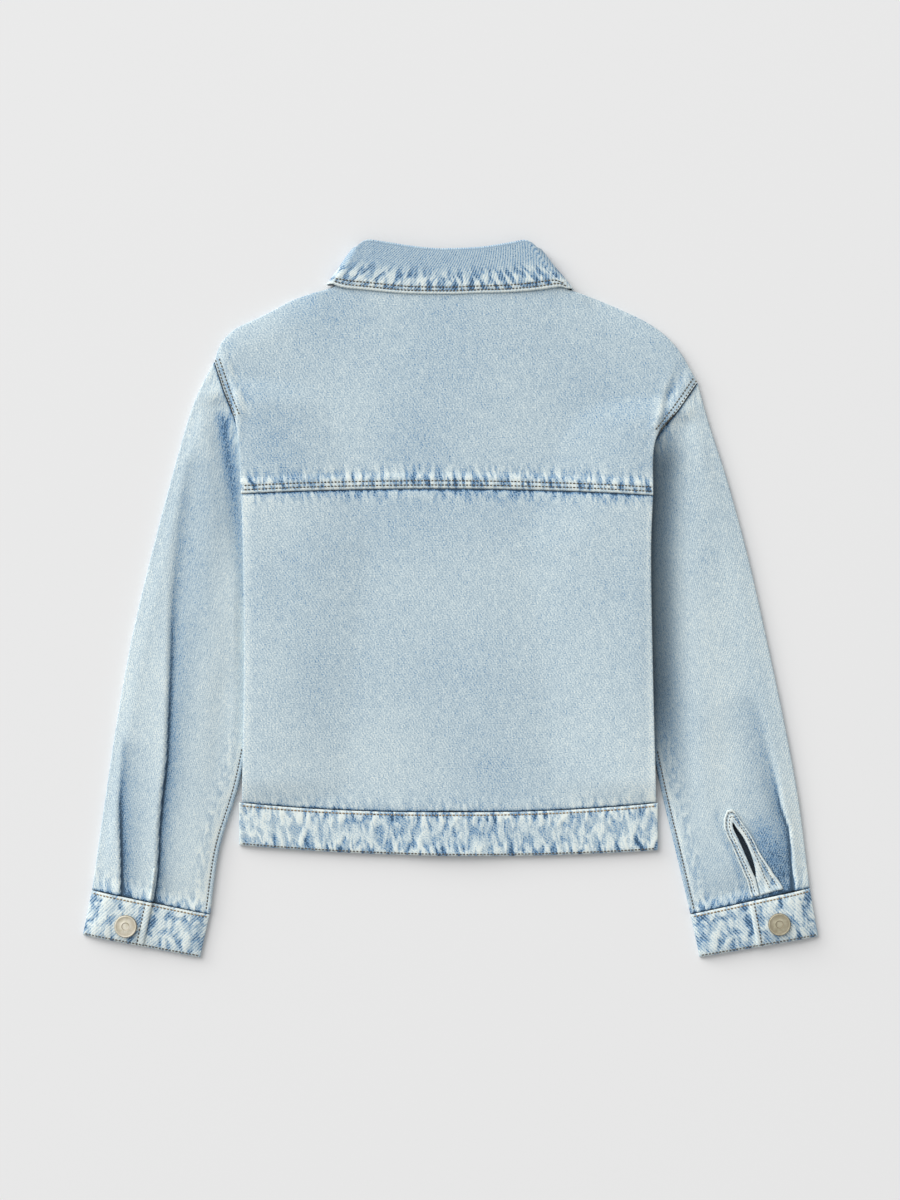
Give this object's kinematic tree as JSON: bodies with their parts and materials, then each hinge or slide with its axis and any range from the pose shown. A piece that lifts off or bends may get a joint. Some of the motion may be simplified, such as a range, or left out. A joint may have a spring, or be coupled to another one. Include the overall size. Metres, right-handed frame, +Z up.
{
  "type": "denim jacket",
  "caption": "Child's light-wash denim jacket laid flat face down: turned-down collar, back yoke, hem band, long sleeves with buttoned cuffs.",
  "frame": {"origin": "middle of the part's outline in plan, at the level of the surface it lies on", "axes": "+Z up off the surface, +Y from the hem towards the collar, +X towards the wearer's right sleeve"},
  "size_m": [0.558, 0.5424, 0.0103],
  "materials": {
    "denim": "stonewashed light blue 3/1 twill",
    "denim_worn": "the same cloth, puckered and worn pale at its seams",
    "button_metal": "nickel-washed brass, satin"
  },
  "bodies": {
    "root": {"back_yoke": "denim", "back_panel": "denim", "front_left": "denim", "front_right": "denim", "hem_band": "denim_worn", "collar_leaf": "denim_worn", "collar_stand": "denim", "sleeve_left": "denim", "sleeve_right": "denim", "cuff_left": "denim_worn", "cuff_right": "denim_worn", "slit_binding_left": "denim_worn", "slit_binding_right": "denim_worn", "cuff_button_left": "button_metal", "cuff_button_right": "button_metal", "front_button_1": "button_metal", "front_button_2": "button_metal", "front_button_3": "button_metal", "front_button_4": "button_metal", "front_button_5": "button_metal"}
  },
  "joints": []
}
